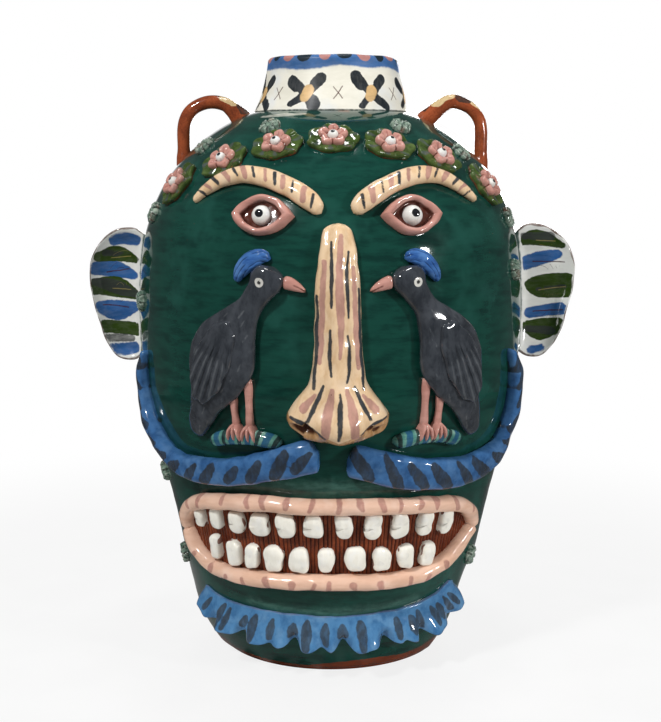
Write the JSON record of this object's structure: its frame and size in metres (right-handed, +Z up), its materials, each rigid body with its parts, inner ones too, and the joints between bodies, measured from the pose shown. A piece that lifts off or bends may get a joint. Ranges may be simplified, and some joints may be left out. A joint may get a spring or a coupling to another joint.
{
  "type": "face jug",
  "caption": "Large glazed stoneware face jug with an open neck, loop handles, ears, a moustache, a wide toothed mouth and applied relief ornament.",
  "frame": {"origin": "middle of the foot's flat underside", "axes": "+Z up along the jug's axis, the face looks along -Y, +X is the viewer's right"},
  "size_m": [0.3726, 0.3137, 0.45],
  "materials": {
    "green_glaze": "gloss",
    "neck_glaze": "gloss",
    "handle_glaze": "gloss",
    "ear_glaze": "gloss",
    "moustache_glaze": "gloss",
    "lip_glaze": "gloss",
    "bare_clay": "matte",
    "tooth_glaze": "gloss",
    "frill_glaze": "gloss",
    "nose_glaze": "gloss",
    "pink_glaze": "gloss",
    "eyeball_glaze": "gloss",
    "charcoal_glaze": "gloss",
    "crest_glaze": "gloss",
    "perch_glaze": "gloss",
    "leaf_glaze": "gloss",
    "rosette_glaze": "gloss"
  },
  "bodies": {
    "root": {"body": "green_glaze", "neck": "neck_glaze", "left_handle": "handle_glaze", "right_handle": "handle_glaze", "left_ear": "ear_glaze", "right_ear": "ear_glaze", "left_moustache": "moustache_glaze", "right_moustache": "moustache_glaze", "upper_lip": "lip_glaze", "lower_lip": "lip_glaze", "mouth_lining": "bare_clay", "upper_tooth_1": "tooth_glaze", "upper_tooth_2": "tooth_glaze", "upper_tooth_3": "tooth_glaze", "upper_tooth_4": "tooth_glaze", "upper_tooth_5": "tooth_glaze", "upper_tooth_6": "tooth_glaze", "upper_tooth_7": "tooth_glaze", "upper_tooth_8": "tooth_glaze", "upper_tooth_9": "tooth_glaze", "upper_tooth_10": "tooth_glaze", "upper_tooth_11": "tooth_glaze", "lower_tooth_1": "tooth_glaze", "lower_tooth_2": "tooth_glaze", "lower_tooth_3": "tooth_glaze", "lower_tooth_4": "tooth_glaze", "lower_tooth_5": "tooth_glaze", "lower_tooth_6": "tooth_glaze", "lower_tooth_7": "tooth_glaze", "lower_tooth_8": "tooth_glaze", "lower_tooth_9": "tooth_glaze", "lower_tooth_10": "tooth_glaze", "beard_frill": "frill_glaze", "nose": "nose_glaze", "left_brow": "nose_glaze", "right_brow": "nose_glaze", "left_eye_lids": "pink_glaze", "right_eye_lids": "pink_glaze", "left_beak": "pink_glaze", "right_beak": "pink_glaze", "left_legs": "pink_glaze", "right_legs": "pink_glaze", "blossoms": "pink_glaze", "left_eyeball": "eyeball_glaze", "right_eyeball": "eyeball_glaze", "blossom_centres": "eyeball_glaze", "left_bird": "charcoal_glaze", "right_bird": "charcoal_glaze", "left_wing": "charcoal_glaze", "right_wing": "charcoal_glaze", "left_crest": "crest_glaze", "right_crest": "crest_glaze", "left_perch": "perch_glaze", "right_perch": "perch_glaze", "leaves": "leaf_glaze", "rosettes": "rosette_glaze"}
  },
  "joints": []
}
